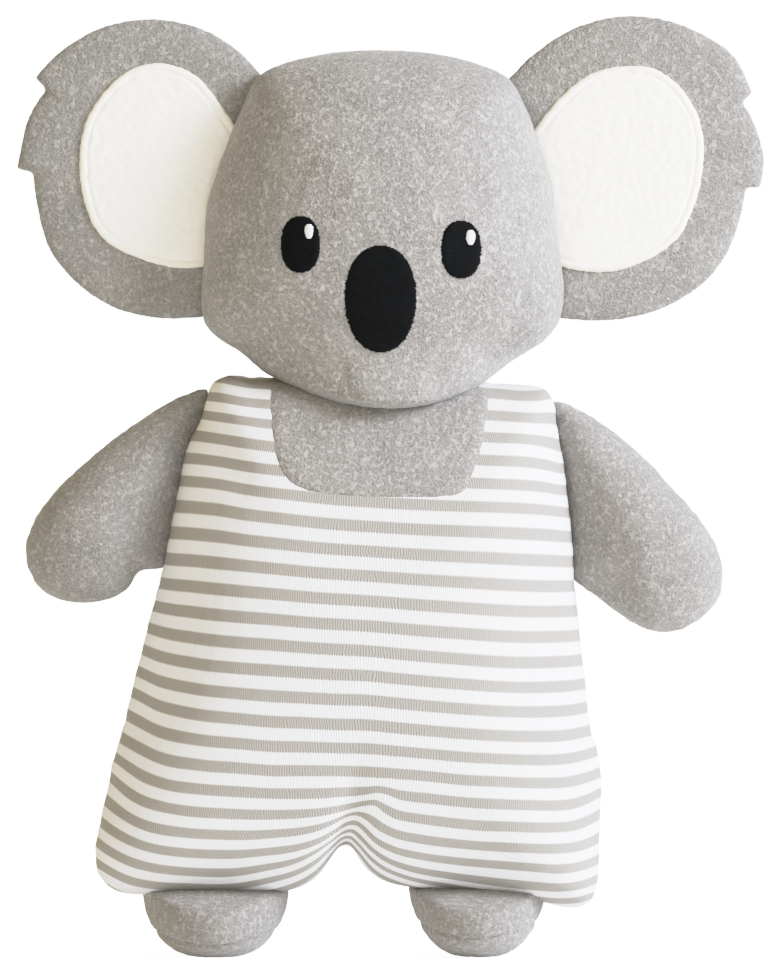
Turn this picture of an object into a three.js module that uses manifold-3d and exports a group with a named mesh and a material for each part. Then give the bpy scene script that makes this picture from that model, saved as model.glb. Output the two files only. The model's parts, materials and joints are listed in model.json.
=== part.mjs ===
// A plush koala: stuffed fleece head, ears, arms and feet on a body in a striped jersey romper.
// Millimetres, +Z up, the face looks along -Y. The toy stands on its soles at z = 0.
// Every stuffed form is sewn from a front and a back panel over its own filling.

import * as THREE from 'three';
import { mergeVertices } from 'three/addons/utils/BufferGeometryUtils.js';
import Module from 'manifold-3d';

const wasm = await Module();
wasm.setup();

// Cloth and sewing
const fleece = 2;
const jersey = 1.2;
const clearance = 0.3;
const patchLift = 0.6;
const threadHeight = 1;
const liningThickness = 1.4;
const overrun = 500;

// Head, measured up and down from the neck line
const headHalfWidth = 64.1;
const crownHeight = 115;
const chinDrop = 10.8;
const headHeartHeight = 48;
const faceDepth = 44;
const napeDepth = 42;
const chinForward = 33;
const jawHeight = 36;
const headTilt = 1.6;
const headShift = -0.3;
const headBlunt = 2.4;
const chinBlunt = 2;

// Right half of the head from the crown to the chin, as shares of its half width and height
const headShares = [
  [0, 1], [0.343, 0.986], [0.593, 0.95], [0.686, 0.92], [0.803, 0.812], [0.913, 0.647],
  [0.973, 0.463], [1, 0.303], [0.967, 0.233], [0.827, 0.172], [0.624, 0.099], [0.367, 0.038],
  [0.125, 0.003], [0, 0],
];

// Embroidered face
const eyeWidth = 14.2;
const eyeHeight = 20;
const eyeSpacing = 28;
const eyeLevel = 45.6;
const glintWidth = 3.5;
const glintHeight = 5;
const glintRight = 3;
const glintUp = 4.3;
const noseWidth = 25.6;
const noseHeight = 36.8;
const noseLevel = 27.6;
const noseTaperShare = -0.06;

// Ears, each a padded disc with two tufts on its outer edge
const earRadius = 52;
const earOut = 12.9;
const earLevel = 73;
const earDepth = 5;
const earRise = 1.8;
const earSway = 2.2;
const earTuck = 2.5;
const earRootTop = 103;
const earRootBottom = 24;
const earHingeOut = 5;
const earFold = 45;
const earBlunt = 2.6;

// Free edge of the ear from the root over the top to the root, as degrees and shares of its radius
const earTopShares = [[123, 0.94], [109, 0.97], [95, 1.005], [78, 1.05], [60, 1.075], [42, 1.095]];
const earTuftShares = [[32.5, 1.1], [31.5, 1.016], [20, 1.013], [8, 1.018], [-3, 1.03], [-4, 0.93]];
const earLowShares = [[-20, 0.95], [-38, 0.985], [-58, 1.01], [-80, 1.015], [-98, 1.03]];

// White lining on the front of the ear, the same way
const liningShares = [
  [105, 0.71], [84, 0.72], [62, 0.71], [38, 0.67], [14, 0.62], [-10, 0.6],
  [-34, 0.61], [-58, 0.65], [-82, 0.69], [-102, 0.705],
];
const liningTuck = 1;
const liningTop = 89;
const liningBottom = 38;

// Body and romper, measured down from the neck line
const bodyHalfWidth = 87.5;
const bodyLength = 182.5;
const bodyHeartDrop = 100;
const bellyDepth = 36;
const backDepth = 33;
const hemHeight = 19.3;
const sideBlunt = 2.2;
const hemBlunt = 4;
const shoulderBlunt = 3.5;
const leanShare = 0.066;
const rowSlopeShare = 0.038;
const rowLevelShare = 0.55;
const bodyShift = -3.7;

// Right half of the body from the neck to the crotch, as shares of its half width and length
const bodyShares = [
  [0, 0], [0.3, 0], [0.64, 0.004], [0.695, 0.06], [0.791, 0.234], [0.845, 0.426], [0.91, 0.618],
  [0.987, 0.809], [1, 0.91], [0.954, 0.98], [0.823, 1], [0.514, 0.985], [0.32, 0.99],
  [0.19, 0.975], [0.085, 0.94], [0, 0.888],
];

// Fleece chest and back yoke let into the top of the romper
const chestTopHalfWidth = 39.5;
const chestLowHalfWidth = 31.5;
const chestDrop = 42;
const chestCorner = 9;
const yokeDrop = 16;
const yokeCorner = 6;
const yokeRise = 12;

// Neck plug, the stuffing that runs on from the body into the head
const neckRadius = 13;
const neckHalfLength = 32;
const neckHingeHeight = 2;
const headNod = 10;

// Arms, each sewn into the side seam under the shoulder
const armReach = 62.8;
const armSway = 3.2;
const armDrop = 78;
const armDepth = 16;
const armTuck = 2.2;
const armTopDrop = 5.5;
const armRootBottom = 68;
const armHingeOut = 1.5;
const armSwing = 45;
const armTurn = 1.9;
const armBlunt = 2.3;
const armRootBlunt = 1.3;
const armHeartOutShare = 0.52;
const armHeartDownShare = 0.6;

// Free edge of the arm from the shoulder round the paw, as shares of its reach and drop
const armShares = [
  [0.12, 0.032], [0.373, 0.144], [0.6, 0.3], [0.766, 0.436], [0.955, 0.623], [1, 0.772],
  [0.972, 0.853], [0.909, 0.923], [0.795, 0.983], [0.636, 1], [0.5, 0.969], [0.284, 0.862],
];

// Feet, each a stuffed boot on an oval sole
const footHalfWidth = 24.8;
const toeReach = 33;
const heelReach = 25;
const footSpacingShare = 0.52342857;
const instepHeight = 18;
const instepRise = 6;
const soleFlat = 0.5;
const soleSeamHeight = 5.6;
const footSideBlunt = 2.1;
const footLongBlunt = 4;
const ankleRadius = 15;
const ankleHalfLength = 18;
const ankleHeight = 25;
const footTilt = 10;

// Counts that set how finely the forms are drawn
const bodySideCount = 52;
const headSideCount = 40;
const armSideCount = 24;
const footSideCount = 20;
const liningSideCount = 24;
const plugTurnCount = 20;
const plugStepCount = 4;
const bodyRingCount = 5;
const headRingCount = 6;
const armRingCount = 4;
const earRingCount = 3;
const earInnerRingCount = 2;
const footRingCount = 3;
const innerRingCount = 3;
const innerSkipCount = 2;
const patchRingCount = 3;
const patchSideCount = 18;
const glintSideCount = 12;
const sweepStepCount = 2;
const cornerStepCount = 4;
const earRootPointCount = 5;
const liningRootPointCount = 4;
const armRootPointCount = 4;

const fullTurn = 2 * Math.PI;
const quarter = fullTurn / 4;
const neckHeight = bodyLength + hemHeight;
const footSpacing = bodyHalfWidth * footSpacingShare;
const sides = { left: -1, right: 1 };

// Cloth colours
function cloth(color, roughness) {
  return { color, roughness, metalness: 0 };
}

const greyFleece = cloth(0xb4b1ad, 0.95);
const whiteFleece = cloth(0xf2f0ea, 0.95);
const stripedJersey = cloth(0xd6d3cd, 0.9);
const blackThread = cloth(0x1b1d1c, 0.6);
const whiteThread = cloth(0xf6f6f4, 0.6);
const stuffing = cloth(0xf5f4ef, 1);

// Where a point of a flat pattern lies on the toy: u to the right, v up, y to the back
function onHead(u, y, v) {
  const tilt = THREE.MathUtils.degToRad(headTilt);
  const x = u * Math.cos(tilt) + v * Math.sin(tilt);
  const z = v * Math.cos(tilt) - u * Math.sin(tilt);
  return new THREE.Vector3(bodyShift + headShift + x, y, neckHeight + z);
}

function onBody(u, y, v) {
  const rowSlope = rowSlopeShare * (1 + (rowLevelShare * v) / bodyLength);
  return new THREE.Vector3(bodyShift + u + leanShare * v, y, neckHeight + v - u * rowSlope);
}

// A closed smooth line along hand-placed points
function smoothEdge(points, count = points.length) {
  const corners = points.map(([u, v]) => new THREE.Vector3(u, v, 0));
  const curve = new THREE.CatmullRomCurve3(corners, true, 'centripetal');
  return Array.from({ length: count }, (_, step) => {
    const { x, y } = curve.getPoint(step / count);
    return new THREE.Vector2(x, y);
  });
}

function bothHalves(half) {
  const left = half.slice(1, -1).reverse().map(([u, v]) => [-u, v]);
  return [...half, ...left];
}

function edgeInset(edge, heart, inset) {
  return edge.map((point, index) => {
    const before = edge.at(index - 1);
    const after = edge[(index + 1) % edge.length];
    const along = after.clone().sub(before).normalize();
    const inward = new THREE.Vector2(-along.y, along.x);
    const towardsHeart = Math.sign(inward.dot(heart.clone().sub(point)));
    return point.clone().addScaledVector(inward, inset * towardsHeart);
  });
}

// How far the edge stands from the middle line of the pattern at one level
function halfWidthAt(edge, level) {
  const crossings = edge.flatMap((point, index) => {
    const next = edge[(index + 1) % edge.length];
    const rise = next.y - point.y;
    const share = rise === 0 ? -1 : (level - point.y) / rise;
    return share >= 0 && share <= 1 ? [point.x + share * (next.x - point.x)] : [];
  });
  return Math.max(...crossings);
}

// Closed body through rings of points, from a first pole to a last pole, faces outwards
function loft(first, rings, last) {
  const points = [first, ...rings.flat(), last];
  const around = rings[0].length;
  const end = points.length - 1;
  const faces = [];
  for (let side = 0; side < around; side += 1) {
    const next = (side + 1) % around;
    faces.push([0, 1 + side, 1 + next]);
    for (let ring = 1; ring < rings.length; ring += 1) {
      const near = 1 + (ring - 1) * around;
      const far = near + around;
      faces.push([near + side, far + side, far + next]);
      faces.push([near + side, far + next, near + next]);
    }
    const rim = 1 + (rings.length - 1) * around;
    faces.push([rim + side, end, rim + next]);
  }
  const sixVolume = faces.reduce((sum, [a, b, c]) => {
    const across = points[b].clone().cross(points[c]);
    return sum + points[a].dot(across);
  }, 0);
  const outward = sixVolume > 0 ? faces : faces.map(([a, b, c]) => [a, c, b]);
  const geometry = new THREE.BufferGeometry().setFromPoints(points);
  geometry.setIndex(outward.flat());
  return geometry;
}

// A solid for joining and cutting, from a closed geometry
function solid(geometry) {
  geometry.deleteAttribute('normal');
  geometry.deleteAttribute('uv');
  const merged = mergeVertices(geometry);
  const vertProperties = Float32Array.from(merged.attributes.position.array);
  const triVerts = Uint32Array.from(merged.index.array);
  return new wasm.Manifold(new wasm.Mesh({ numProp: 3, vertProperties, triVerts }));
}

// A stuffed form swells from its edge to its heart, in front and behind
function bulge(form, share, direction, inset, side) {
  const power = form.blunt(direction);
  return (form.depths[side] - inset) * (1 - share ** power) ** (1 / power);
}

function stuffed(form, inset, rings, every = 1) {
  const edge = edgeInset(form.edge, form.heart, inset).filter((_, index) => index % every === 0);
  const { heart, place, middle } = form;
  const layers = [];
  for (let step = 1 - rings; step < rings; step += 1) {
    const share = Math.cos((quarter * step) / rings);
    const back = step > 0 ? 1 : 0;
    layers.push(edge.map((point) => {
      const spoke = point.clone().sub(heart);
      const at = heart.clone().addScaledVector(spoke, share);
      const swell = bulge(form, share, spoke.normalize(), inset, back);
      return place(at.x, middle(at.y) + (back ? swell : -swell), at.y);
    }));
  }
  const front = place(heart.x, middle(heart.y) - form.depths[0] + inset, heart.y);
  const rear = place(heart.x, middle(heart.y) + form.depths[1] - inset, heart.y);
  return solid(loft(front, layers, rear));
}

// Front surface of a form over one point of its pattern
function frontOf(form, u, v) {
  const spoke = new THREE.Vector2(u, v).sub(form.heart);
  if (spoke.length() === 0) {
    return form.middle(v) - form.depths[0];
  }
  const shares = form.edge.map((point, index) => {
    const from = point.clone().sub(form.heart);
    const along = form.edge[(index + 1) % form.edge.length].clone().sub(point);
    const turn = spoke.cross(along);
    const reach = from.cross(along) / turn;
    const place = from.cross(spoke) / turn;
    return reach > 0 && place >= 0 && place <= 1 ? 1 / reach : 0;
  });
  const share = Math.min(Math.max(...shares), 1);
  return form.middle(v) - bulge(form, share, spoke.normalize(), 0, 0);
}

// Cloth or stitching laid on the front of a form inside a closed edge
function patch(form, edge, lift, thickness, rings = patchRingCount) {
  const centre = edge.reduce((sum, point) => sum.add(point), new THREE.Vector2());
  centre.divideScalar(edge.length);
  const laid = (point, height) => {
    return form.place(point.x, frontOf(form, point.x, point.y) - height, point.y);
  };
  const ring = (share, height) => edge.map((point) => laid(centre.clone().lerp(point, share), height));
  const shares = Array.from({ length: rings }, (_, index) => (index + 1) / rings);
  const top = shares.map((share) => ring(share, lift + thickness));
  const under = shares.map((share) => ring(share, lift)).reverse();
  return solid(loft(laid(centre, lift + thickness), [...top, ...under], laid(centre, lift)));
}

function oval(centreU, centreV, width, height, sideCount, taperShare = 0) {
  return Array.from({ length: sideCount }, (_, index) => {
    const turn = (index * fullTurn) / sideCount;
    const waist = 1 - taperShare * Math.sin(turn);
    const u = centreU + (width / 2) * Math.cos(turn) * waist;
    return new THREE.Vector2(u, centreV + (height / 2) * Math.sin(turn));
  });
}

// Everything on one side of a plane across an axis
function beyond(axis, from, direction) {
  const box = new THREE.BoxGeometry(2 * overrun, 2 * overrun, 2 * overrun);
  const shift = new THREE.Vector3(0, 0, 0);
  shift[axis] = from + direction * overrun;
  return solid(box.translate(shift.x, shift.y, shift.z));
}

const frontHalf = beyond('y', -clearance / 2, -1);
const backHalf = beyond('y', clearance / 2, 1);

// Rounded plug of stuffing, a body of revolution about a hinge that lies left to right
function plug(centre, radius, halfLength) {
  const profile = Array.from({ length: plugStepCount + 1 }, (_, step) => {
    const turn = quarter * ((2 * step) / plugStepCount - 1);
    const round = step === 0 || step === plugStepCount ? 0 : radius * Math.sqrt(Math.cos(turn));
    return new THREE.Vector2(round, halfLength * Math.sin(turn));
  });
  const geometry = new THREE.LatheGeometry(profile, plugTurnCount).rotateZ(-quarter);
  return solid(geometry.translate(centre.x, centre.y, centre.z));
}

// The hole for that plug clears the corners of its sides at any turn
function plugHole(centre, radius, halfLength) {
  const wall = radius / Math.cos(fullTurn / 2 / plugTurnCount) + clearance;
  return plug(centre, wall, halfLength + clearance);
}

// All the room that a neighbour takes, seen from a limb that turns both ways about its hinge
function sweptBy(neighbour, hinge, degrees) {
  const toHinge = new THREE.Matrix4().makeTranslation(hinge.at);
  const fromHinge = toHinge.clone().invert();
  let room = neighbour;
  for (let step = -sweepStepCount; step <= sweepStepCount; step += 1) {
    const turn = THREE.MathUtils.degToRad((degrees * step) / sweepStepCount);
    const turned = new THREE.Matrix4().makeRotationAxis(hinge.axis, turn);
    turned.premultiply(toHinge).multiply(fromHinge);
    room = room.add(neighbour.transform(turned.elements));
  }
  return room;
}

function hingeThrough(low, high) {
  return { at: low.clone().lerp(high, 1 / 2), axis: high.clone().sub(low).normalize() };
}

// The scene: one group for each part that moves, standing at its hinge
function jointGroup(parent, parentAt, at) {
  const group = new THREE.Group();
  group.position.copy(at).sub(parentAt);
  parent.add(group);
  return group;
}

function addPiece(group, origin, name, body, look) {
  const { vertProperties, triVerts } = body.translate(origin.clone().negate().toArray()).getMesh();
  const geometry = new THREE.BufferGeometry();
  geometry.setAttribute('position', new THREE.BufferAttribute(Float32Array.from(vertProperties), 3));
  geometry.setIndex(new THREE.BufferAttribute(Uint32Array.from(triVerts), 1));
  geometry.computeVertexNormals();
  const mesh = new THREE.Mesh(geometry, new THREE.MeshStandardMaterial(look));
  mesh.name = name;
  group.add(mesh);
}

const koala = new THREE.Group();
const floor = new THREE.Vector3(0, 0, 0);

// Body form
const bodyEdge = smoothEdge(bothHalves(bodyShares.map(([out, down]) => {
  return [out * bodyHalfWidth, -down * bodyLength];
})), bodySideCount);
const bodyForm = {
  edge: bodyEdge,
  heart: new THREE.Vector2(0, -bodyHeartDrop),
  depths: [bellyDepth, backDepth],
  blunt: (direction) => {
    const low = (hemBlunt - sideBlunt) * Math.max(0, -direction.y) ** 2;
    const high = (shoulderBlunt - sideBlunt) * Math.max(0, direction.y) ** 2;
    return sideBlunt + low + high;
  },
  middle: () => 0,
  place: onBody,
};

// Head form, whose chin hangs forward over the chest
const headHeight = crownHeight + chinDrop;
const headEdge = smoothEdge(bothHalves(headShares.map(([out, up]) => {
  return [out * headHalfWidth, up * headHeight - chinDrop];
})), headSideCount);
const headForm = {
  edge: headEdge,
  heart: new THREE.Vector2(0, headHeartHeight),
  depths: [faceDepth, napeDepth],
  blunt: (direction) => headBlunt - (headBlunt - chinBlunt) * Math.max(0, -direction.y),
  middle: (level) => {
    const share = THREE.MathUtils.clamp((jawHeight - chinDrop - level) / jawHeight, 0, 1);
    return -chinForward * share ** 3;
  },
  place: onHead,
};

// Neck and ankles, where the stuffing of the body runs on into the head and the feet
const neck = onBody(0, 0, neckHingeHeight);
const neckHinge = { at: neck, axis: new THREE.Vector3(1, 0, 0) };
const ankles = Object.fromEntries(Object.entries(sides).map(([side, sign]) => {
  const { x } = onBody(sign * footSpacing, 0, -bodyLength);
  return [side, new THREE.Vector3(x, 0, ankleHeight)];
}));

const bodyOuter = stuffed(bodyForm, 0, bodyRingCount);
const sockets = [
  plugHole(neck, neckRadius, neckHalfLength),
  ...Object.values(ankles).map((at) => plugHole(at, ankleRadius, ankleHalfLength)),
].reduce((all, hole) => all.add(hole));

// Romper with a fleece chest and back yoke
function yokeShape(halfTop, halfLow, drop, corner) {
  const low = new THREE.Vector2(halfLow, -drop);
  const shape = new THREE.Shape().moveTo(-halfTop, yokeRise).lineTo(halfTop, yokeRise);
  const slope = (halfTop - halfLow) / drop;
  shape.lineTo(halfTop, 0).lineTo(low.x + slope * corner, low.y + corner);
  shape.quadraticCurveTo(low.x, low.y, low.x - corner, low.y);
  shape.lineTo(corner - low.x, low.y);
  shape.quadraticCurveTo(-low.x, low.y, -low.x - slope * corner, low.y + corner);
  return shape.lineTo(-halfTop, 0);
}

function yokeCutter(shape, from) {
  const drawn = { depth: overrun, bevelEnabled: false, curveSegments: cornerStepCount };
  const geometry = new THREE.ExtrudeGeometry(shape, drawn);
  const { position } = geometry.attributes;
  for (let index = 0; index < position.count; index += 1) {
    const y = from === 'front' ? -position.getZ(index) : overrun - position.getZ(index);
    const at = onBody(position.getX(index), y, position.getY(index));
    position.setXYZ(index, at.x, at.y, at.z);
  }
  return solid(geometry);
}

function addBody() {
  const cavity = stuffed(bodyForm, jersey, innerRingCount, innerSkipCount);
  const romper = bodyOuter.subtract(cavity).subtract(sockets);
  const raised = stuffed(bodyForm, jersey - fleece, bodyRingCount).subtract(cavity).subtract(sockets);
  const inside = stuffed(bodyForm, jersey + clearance, innerRingCount, innerSkipCount);
  const chest = [chestTopHalfWidth, chestLowHalfWidth, chestDrop, chestCorner];
  const yoke = [chestTopHalfWidth, chestLowHalfWidth, yokeDrop, yokeCorner];
  const wider = ([top, low, ...rest]) => [top + clearance, low + clearance, ...rest];
  const lower = ([top, low, drop, corner]) => [top, low, drop + clearance, corner];
  const chestCut = yokeCutter(yokeShape(...chest), 'front');
  const chestRoom = yokeCutter(yokeShape(...lower(wider(chest))), 'front');
  const yokeCut = yokeCutter(yokeShape(...yoke), 'back');
  const yokeRoom = yokeCutter(yokeShape(...lower(wider(yoke))), 'back');
  const pieces = {
    romper_front: [romper.intersect(frontHalf).subtract(chestRoom), stripedJersey],
    romper_back: [romper.intersect(backHalf).subtract(yokeRoom), stripedJersey],
    chest_panel: [raised.intersect(frontHalf).intersect(chestCut), greyFleece],
    back_yoke: [raised.intersect(backHalf).intersect(yokeCut), greyFleece],
    body_filling: [inside.subtract(sockets), stuffing],
  };
  Object.entries(pieces).forEach(([name, [body, look]]) => addPiece(koala, floor, name, body, look));
}

// Head panels, their filling and the embroidered face
function addHead(group) {
  const shoulders = stuffed(bodyForm, jersey - fleece - clearance, bodyRingCount);
  const room = sweptBy(shoulders, neckHinge, headNod);
  const neckPlug = plug(neck, neckRadius, neckHalfLength);
  const neckHole = plugHole(neck, neckRadius, neckHalfLength);
  const cavity = stuffed(headForm, fleece, innerRingCount, innerSkipCount);
  const skin = stuffed(headForm, 0, headRingCount).subtract(cavity).subtract(room).subtract(neckHole);
  const inside = stuffed(headForm, fleece + clearance, innerRingCount, innerSkipCount);
  const filling = inside.subtract(room).add(neckPlug);
  addPiece(group, neck, 'head_face_panel', skin.intersect(frontHalf), greyFleece);
  addPiece(group, neck, 'head_back_panel', skin.intersect(backHalf), greyFleece);
  addPiece(group, neck, 'head_filling', filling, stuffing);
  const noseEdge = oval(0, noseLevel, noseWidth, noseHeight, patchSideCount, noseTaperShare);
  addPiece(group, neck, 'nose', patch(headForm, noseEdge, patchLift, threadHeight), blackThread);
  Object.entries(sides).forEach(([side, sign]) => {
    const u = sign * eyeSpacing;
    const eyeEdge = oval(u, eyeLevel, eyeWidth, eyeHeight, patchSideCount);
    const eye = patch(headForm, eyeEdge, patchLift, threadHeight);
    const glintEdge = oval(u + glintRight, eyeLevel + glintUp, glintWidth, glintHeight, glintSideCount);
    const glintLift = patchLift + threadHeight + clearance;
    const glint = patch(headForm, glintEdge, glintLift, threadHeight / 2, 1);
    addPiece(group, neck, `eye_${side}`, eye, blackThread);
    addPiece(group, neck, `eye_glint_${side}`, glint, whiteThread);
  });
}

// Ears
function earPoints(sign, table) {
  const centreU = headHalfWidth + earOut + sign * earSway;
  const level = earLevel + sign * earRise;
  return table.map(([degrees, share]) => {
    const turn = THREE.MathUtils.degToRad(degrees);
    const reach = share * earRadius;
    return [centreU + reach * Math.cos(turn), level + reach * Math.sin(turn)];
  });
}

function headSide(top, bottom, tuck, count) {
  return Array.from({ length: count }, (_, index) => {
    const level = bottom + ((top - bottom) * index) / (count - 1);
    return [halfWidthAt(headEdge, level) - tuck, level];
  });
}

function earForm(sign, tables) {
  const root = headSide(earRootTop, earRootBottom, earTuck, earRootPointCount);
  const free = tables.flatMap((table) => earPoints(sign, table));
  const edge = smoothEdge([...free, ...root].map(([u, v]) => [sign * u, v]));
  return {
    edge,
    heart: new THREE.Vector2(sign * (headHalfWidth + earOut) + earSway, earLevel + sign * earRise),
    depths: [earDepth, earDepth],
    blunt: () => earBlunt,
    middle: () => 0,
    place: onHead,
  };
}

function earHinge(sign) {
  const out = (level) => sign * (halfWidthAt(headEdge, level) + earHingeOut);
  const low = onHead(out(earRootBottom), 0, earRootBottom);
  return hingeThrough(low, onHead(out(earRootTop), 0, earRootTop));
}

function addEar(parent, side, sign) {
  const hinge = earHinge(sign);
  const group = jointGroup(parent, neck, hinge.at);
  const tufted = earForm(sign, [earTopShares, earTuftShares, earLowShares]);
  const plain = earForm(sign, [earTopShares, earLowShares]);
  const headRoom = stuffed(headForm, -clearance, headRingCount);
  const room = sweptBy(headRoom, hinge, earFold);
  const cavity = stuffed(plain, fleece, earInnerRingCount);
  const skin = stuffed(tufted, 0, earRingCount).subtract(cavity).subtract(room);
  const wadding = stuffed(plain, fleece + clearance, earInnerRingCount).subtract(room);
  const root = headSide(liningTop, liningBottom, -liningTuck, liningRootPointCount);
  const liningEdge = [...earPoints(sign, liningShares), ...root].map(([u, v]) => [sign * u, v]);
  const lining = patch(tufted, smoothEdge(liningEdge, liningSideCount), patchLift, liningThickness);
  addPiece(group, hinge.at, `ear_front_${side}`, skin.intersect(frontHalf), greyFleece);
  addPiece(group, hinge.at, `ear_back_${side}`, skin.intersect(backHalf), greyFleece);
  addPiece(group, hinge.at, `ear_wadding_${side}`, wadding, stuffing);
  addPiece(group, hinge.at, `ear_lining_${side}`, lining.subtract(room), whiteFleece);
}

// Arms
function armForm(sign) {
  const shoulder = new THREE.Vector2(halfWidthAt(bodyEdge, -armTopDrop), -armTopDrop);
  const turn = THREE.MathUtils.degToRad(sign * armTurn);
  const swung = ([out, down]) => {
    const hang = new THREE.Vector2(out * (armReach + sign * armSway), -down * armDrop);
    return hang.rotateAround(new THREE.Vector2(0, 0), -turn).add(shoulder);
  };
  const root = Array.from({ length: armRootPointCount }, (_, index) => {
    const level = -armRootBottom + ((armRootBottom - armTopDrop) * index) / (armRootPointCount - 1);
    return [halfWidthAt(bodyEdge, level) - armTuck, level];
  });
  const free = armShares.map(swung).map(({ x, y }) => [x, y]);
  const heart = swung([armHeartOutShare, armHeartDownShare]);
  return {
    edge: smoothEdge([...free, ...root].map(([u, v]) => [sign * u, v]), armSideCount),
    heart: new THREE.Vector2(sign * heart.x, heart.y),
    depths: [armDepth, armDepth],
    blunt: (direction) => {
      return armBlunt - (armBlunt - armRootBlunt) * Math.max(0, -sign * direction.x);
    },
    middle: () => 0,
    place: onBody,
  };
}

function addArm(side, sign) {
  const out = (level) => sign * (halfWidthAt(bodyEdge, level) + armHingeOut);
  const low = onBody(out(-armRootBottom), 0, -armRootBottom);
  const hinge = hingeThrough(low, onBody(out(-armTopDrop), 0, -armTopDrop));
  const group = jointGroup(koala, floor, hinge.at);
  const form = armForm(sign);
  const room = sweptBy(stuffed(bodyForm, -clearance, bodyRingCount), hinge, armSwing);
  const cavity = stuffed(form, fleece, innerRingCount, innerSkipCount);
  const skin = stuffed(form, 0, armRingCount).subtract(cavity).subtract(room);
  const filling = stuffed(form, fleece + clearance, innerRingCount, innerSkipCount).subtract(room);
  addPiece(group, hinge.at, `arm_front_${side}`, skin.intersect(frontHalf), greyFleece);
  addPiece(group, hinge.at, `arm_back_${side}`, skin.intersect(backHalf), greyFleece);
  addPiece(group, hinge.at, `arm_filling_${side}`, filling, stuffing);
  return hinge;
}

// Feet
function footForm(at) {
  const edge = Array.from({ length: footSideCount }, (_, index) => {
    const turn = (index * fullTurn) / footSideCount;
    const reach = Math.sin(turn) < 0 ? toeReach : heelReach;
    return new THREE.Vector2(footHalfWidth * Math.cos(turn), reach * Math.sin(turn));
  });
  return {
    edge,
    heart: new THREE.Vector2(0, 0),
    depths: [instepHeight + soleFlat, instepRise],
    blunt: (direction) => {
      return footSideBlunt + (footLongBlunt - footSideBlunt) * direction.y ** 2;
    },
    middle: () => 0,
    place: (u, up, v) => new THREE.Vector3(at.x + u, v, instepHeight + up),
  };
}

function addFoot(side) {
  const at = ankles[side];
  const hinge = { at, axis: new THREE.Vector3(1, 0, 0) };
  const group = jointGroup(koala, floor, at);
  const form = footForm(at);
  const room = sweptBy(stuffed(bodyForm, -clearance, bodyRingCount), hinge, footTilt);
  const hole = plugHole(at, ankleRadius, ankleHalfLength);
  const ankle = plug(at, ankleRadius, ankleHalfLength);
  const cavity = stuffed(form, fleece, innerRingCount, innerSkipCount).intersect(beyond('z', fleece, 1));
  const whole = stuffed(form, 0, footRingCount).intersect(beyond('z', 0, 1));
  const skin = whole.subtract(cavity).subtract(room).subtract(hole);
  const inside = stuffed(form, fleece + clearance, innerRingCount, innerSkipCount);
  const filling = inside.intersect(beyond('z', fleece + clearance, 1)).subtract(room).add(ankle);
  const above = beyond('z', soleSeamHeight + clearance / 2, 1);
  const below = beyond('z', soleSeamHeight - clearance / 2, -1);
  addPiece(group, at, `foot_upper_${side}`, skin.intersect(above), greyFleece);
  addPiece(group, at, `foot_sole_${side}`, skin.intersect(below), greyFleece);
  addPiece(group, at, `foot_filling_${side}`, filling, stuffing);
  return hinge;
}

// The whole toy
addBody();
const headGroup = jointGroup(koala, floor, neck);
addHead(headGroup);
koala.userData.hinges = { head_nod: neckHinge };
Object.entries(sides).forEach(([side, sign]) => {
  addEar(headGroup, side, sign);
  koala.userData.hinges[`ear_fold_${side}`] = earHinge(sign);
  koala.userData.hinges[`arm_swing_${side}`] = addArm(side, sign);
  koala.userData.hinges[`foot_tilt_${side}`] = addFoot(side);
});

// The toy stands over the middle of its own outline
koala.updateMatrixWorld(true);
const middle = new THREE.Box3().setFromObject(koala).getCenter(new THREE.Vector3());
koala.position.set(-middle.x, -middle.y, 0);

export default koala;
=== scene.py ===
# %% [markdown]
# # A plush koala in a striped romper
# The toy is sewn from short-pile grey fleece and striped jersey and stuffed with loose fibre. Its shape
# comes from flat panels that the filling pushes round, so every form here starts as a ball that is drawn out
# to the outline of its sewn edge.

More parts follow.
